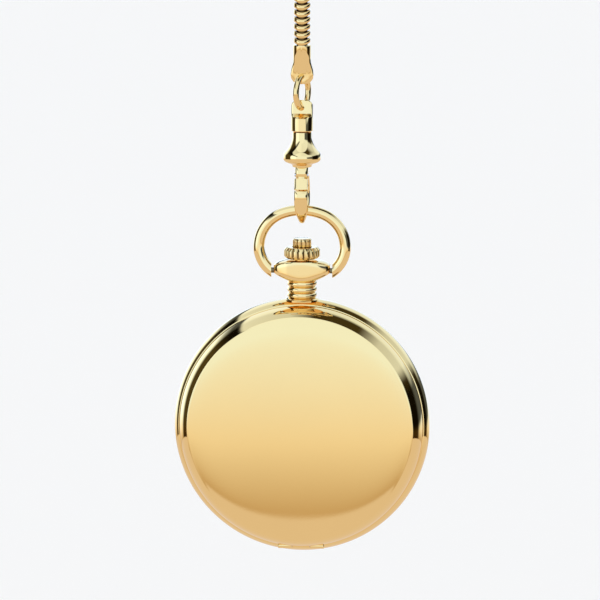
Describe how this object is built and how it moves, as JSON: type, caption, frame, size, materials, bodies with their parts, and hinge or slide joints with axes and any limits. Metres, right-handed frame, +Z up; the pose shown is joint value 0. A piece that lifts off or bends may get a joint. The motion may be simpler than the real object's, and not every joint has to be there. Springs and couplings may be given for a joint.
{
  "type": "pocket watch",
  "caption": "Round full-hunter pocket watch with a domed hinged lid, crown and oval bow, hanging from a swivel hook, snake chain and T-bar.",
  "frame": {"origin": "middle of the T-bar, which holds the watch up", "axes": "+Z up along the hanging chain, -Y out of the front lid, +X along the T-bar"},
  "size_m": [0.047, 0.0122, 0.1188],
  "materials": {
    "gold": "polished",
    "crystal": "clear",
    "dial": "satin",
    "steel": "polished",
    "blued": "polished",
    "nickel": "striped",
    "brass": "satin",
    "ruby": "clear"
  },
  "bodies": {
    "t_bar": {"t_bar": "gold"},
    "upper_ring": {"upper_jump_ring": "gold"},
    "upper_cap": {"upper_end_cap": "gold", "chain_link_1": "gold", "chain_link_2": "gold", "chain_link_3": "gold"},
    "chain_middle": {"chain_link_4": "gold"},
    "lower_cap": {"chain_link_5": "gold", "chain_link_6": "gold", "chain_link_7": "gold", "lower_end_cap": "gold"},
    "lower_ring": {"lower_jump_ring": "gold"},
    "swivel": {"swivel_eye": "gold"},
    "hook": {"swivel_hook": "gold", "gate_pin": "steel"},
    "gate": {"hook_gate": "gold"},
    "bow": {"bow": "gold"},
    "case": {"pendant": "gold", "bow_pin_left": "steel", "bow_pin_right": "steel", "case_middle": "gold", "front_hinge_pin": "steel", "back_hinge_pin": "steel", "bezel": "gold", "crystal": "crystal", "dial": "dial", "main_plate": "nickel", "movement_ring": "nickel", "barrel_bridge": "nickel", "train_bridge": "nickel", "balance_cock": "nickel", "click": "steel", "movement_screws": "blued", "jewels": "ruby"},
    "front_lid": {"front_lid": "gold"},
    "back_cover": {"back_cover": "gold"},
    "catch": {"lid_catch": "steel"},
    "lever": {"setting_lever": "steel"},
    "crown": {"crown": "gold", "winding_stem": "steel", "button_spring": "steel"},
    "button": {"push_button": "gold"},
    "barrel": {"barrel": "brass", "mainspring": "steel"},
    "center": {"center_wheel": "brass", "cannon_pinion": "steel", "minute_hand": "blued"},
    "third": {"third_wheel": "brass"},
    "fourth": {"fourth_wheel": "brass", "second_hand": "blued"},
    "escape": {"escape_wheel": "steel"},
    "pallet": {"pallet_fork": "steel"},
    "balance": {"balance_wheel": "brass", "hairspring": "blued"},
    "hour": {"hour_wheel": "brass", "hour_hand": "blued"},
    "minute_works": {"minute_wheel": "brass"},
    "ratchet": {"ratchet_wheel": "steel"},
    "crown_wheel": {"crown_wheel": "steel"}
  },
  "joints": [
    {"name": "upper_ring_swing", "type": "hinge", "parent": "t_bar", "child": "upper_ring", "pos_m": [0, 0, -0.00395], "axis": [1, 0, 0], "range_deg": [-15, 15]},
    {"name": "upper_cap_swing", "type": "hinge", "parent": "upper_ring", "child": "upper_cap", "pos_m": [0, 0, -0.0087], "axis": [0.309, 0.9511, 0], "range_deg": [-15, 15]},
    {"name": "chain_bend_side", "type": "hinge", "parent": "upper_cap", "child": "chain_middle", "pos_m": [0, 0, -0.01832], "axis": [0, 1, 0], "range_deg": [-5, 5]},
    {"name": "chain_bend_front", "type": "hinge", "parent": "chain_middle", "child": "lower_cap", "pos_m": [0, 0, -0.01961], "axis": [1, 0, 0], "range_deg": [-5, 5]},
    {"name": "lower_ring_swing", "type": "hinge", "parent": "lower_cap", "child": "lower_ring", "pos_m": [0, 0, -0.03033], "axis": [-1, 0, 0], "range_deg": [-15, 15]},
    {"name": "swivel_swing", "type": "hinge", "parent": "lower_ring", "child": "swivel", "pos_m": [0, 0, -0.03503], "axis": [-0.309, -0.9511, 0], "range_deg": [-15, 15]},
    {"name": "hook_swivel", "type": "hinge", "parent": "swivel", "child": "hook", "pos_m": [0, 0, -0.0415], "axis": [0, 0, 1], "continuous": true},
    {"name": "gate_open", "type": "hinge", "parent": "hook", "child": "gate", "pos_m": [0, -0.0013, -0.04723], "axis": [1, 0, 0], "range_deg": [0, 25], "stiffness_Nm_per_rad": 0.0004, "springref_deg": -28.65},
    {"name": "bow_in_hook", "type": "hinge", "parent": "hook", "child": "bow", "pos_m": [0, 0, -0.05393], "axis": [-1, 0, 0], "range_deg": [-60, 60]},
    {"name": "bow_fold", "type": "hinge", "parent": "bow", "child": "case", "pos_m": [0, 0, -0.06508], "axis": [1, 0, 0], "range_deg": [-80, 80]},
    {"name": "front_lid_open", "type": "hinge", "parent": "case", "child": "front_lid", "pos_m": [0, -0.00235, -0.11598], "axis": [1, 0, 0], "range_deg": [0, 95]},
    {"name": "back_cover_open", "type": "hinge", "parent": "case", "child": "back_cover", "pos_m": [0, 0.00235, -0.11598], "axis": [-1, 0, 0], "range_deg": [0, 95]},
    {"name": "crown_pull", "type": "slide", "parent": "case", "child": "lever", "axis": [0, 0, 1], "range_m": [0, 0.001]},
    {"name": "crown_turn", "type": "hinge", "parent": "lever", "child": "crown", "pos_m": [0, 0, -0.07368], "axis": [0, 0, 1], "continuous": true},
    {"name": "button_press", "type": "slide", "parent": "crown", "child": "button", "axis": [0, 0, -1], "range_m": [0, 0.0008], "stiffness_N_per_m": 600, "springref_m": -0.0008},
    {"name": "catch_release", "type": "slide", "parent": "case", "child": "catch", "axis": [0, 0, -1], "range_m": [0, 0.0003]},
    {"name": "center_turn", "type": "hinge", "parent": "case", "child": "center", "pos_m": [0, 0, -0.09368], "axis": [0, 1, 0], "continuous": true},
    {"name": "barrel_turn", "type": "hinge", "parent": "case", "child": "barrel", "pos_m": [-0.0061, 0, -0.08858], "axis": [0, 1, 0], "continuous": true},
    {"name": "third_turn", "type": "hinge", "parent": "case", "child": "third", "pos_m": [0.00376, 0, -0.09874], "axis": [0, 1, 0], "continuous": true},
    {"name": "fourth_turn", "type": "hinge", "parent": "case", "child": "fourth", "pos_m": [0, 0, -0.10218], "axis": [0, 1, 0], "continuous": true},
    {"name": "escape_turn", "type": "hinge", "parent": "case", "child": "escape", "pos_m": [-0.0039, 0, -0.10368], "axis": [0, 1, 0], "continuous": true},
    {"name": "minute_works_turn", "type": "hinge", "parent": "case", "child": "minute_works", "pos_m": [0.00212, 0, -0.09156], "axis": [0, 1, 0], "continuous": true},
    {"name": "hour_turn", "type": "hinge", "parent": "case", "child": "hour", "pos_m": [0, 0, -0.09368], "axis": [0, 1, 0], "continuous": true},
    {"name": "pallet_rock", "type": "hinge", "parent": "case", "child": "pallet", "pos_m": [-0.0064, 0, -0.10218], "axis": [0, 1, 0], "range_deg": [-4, 4]},
    {"name": "balance_swing", "type": "hinge", "parent": "case", "child": "balance", "pos_m": [-0.0096, 0, -0.10068], "axis": [0, 1, 0], "range_deg": [-135, 135], "stiffness_Nm_per_rad": 0.000002},
    {"name": "crown_wheel_turn", "type": "hinge", "parent": "case", "child": "crown_wheel", "pos_m": [0, 0, -0.08218], "axis": [0, 1, 0], "continuous": true},
    {"name": "ratchet_turn", "type": "hinge", "parent": "case", "child": "ratchet", "pos_m": [-0.0061, 0, -0.08858], "axis": [0, 1, 0], "continuous": true}
  ],
  "couplings": [
    {"joint": "catch_release", "follows": "button_press", "ratio": 0.375},
    {"joint": "barrel_turn", "follows": "center_turn", "ratio": -0.14286},
    {"joint": "third_turn", "follows": "center_turn", "ratio": -8},
    {"joint": "fourth_turn", "follows": "center_turn", "ratio": 60},
    {"joint": "escape_turn", "follows": "center_turn", "ratio": -600},
    {"joint": "minute_works_turn", "follows": "center_turn", "ratio": -0.33333},
    {"joint": "hour_turn", "follows": "center_turn", "ratio": 0.083333},
    {"joint": "crown_wheel_turn", "follows": "crown_turn", "ratio": -1},
    {"joint": "ratchet_turn", "follows": "crown_turn", "ratio": 0.51667}
  ]
}
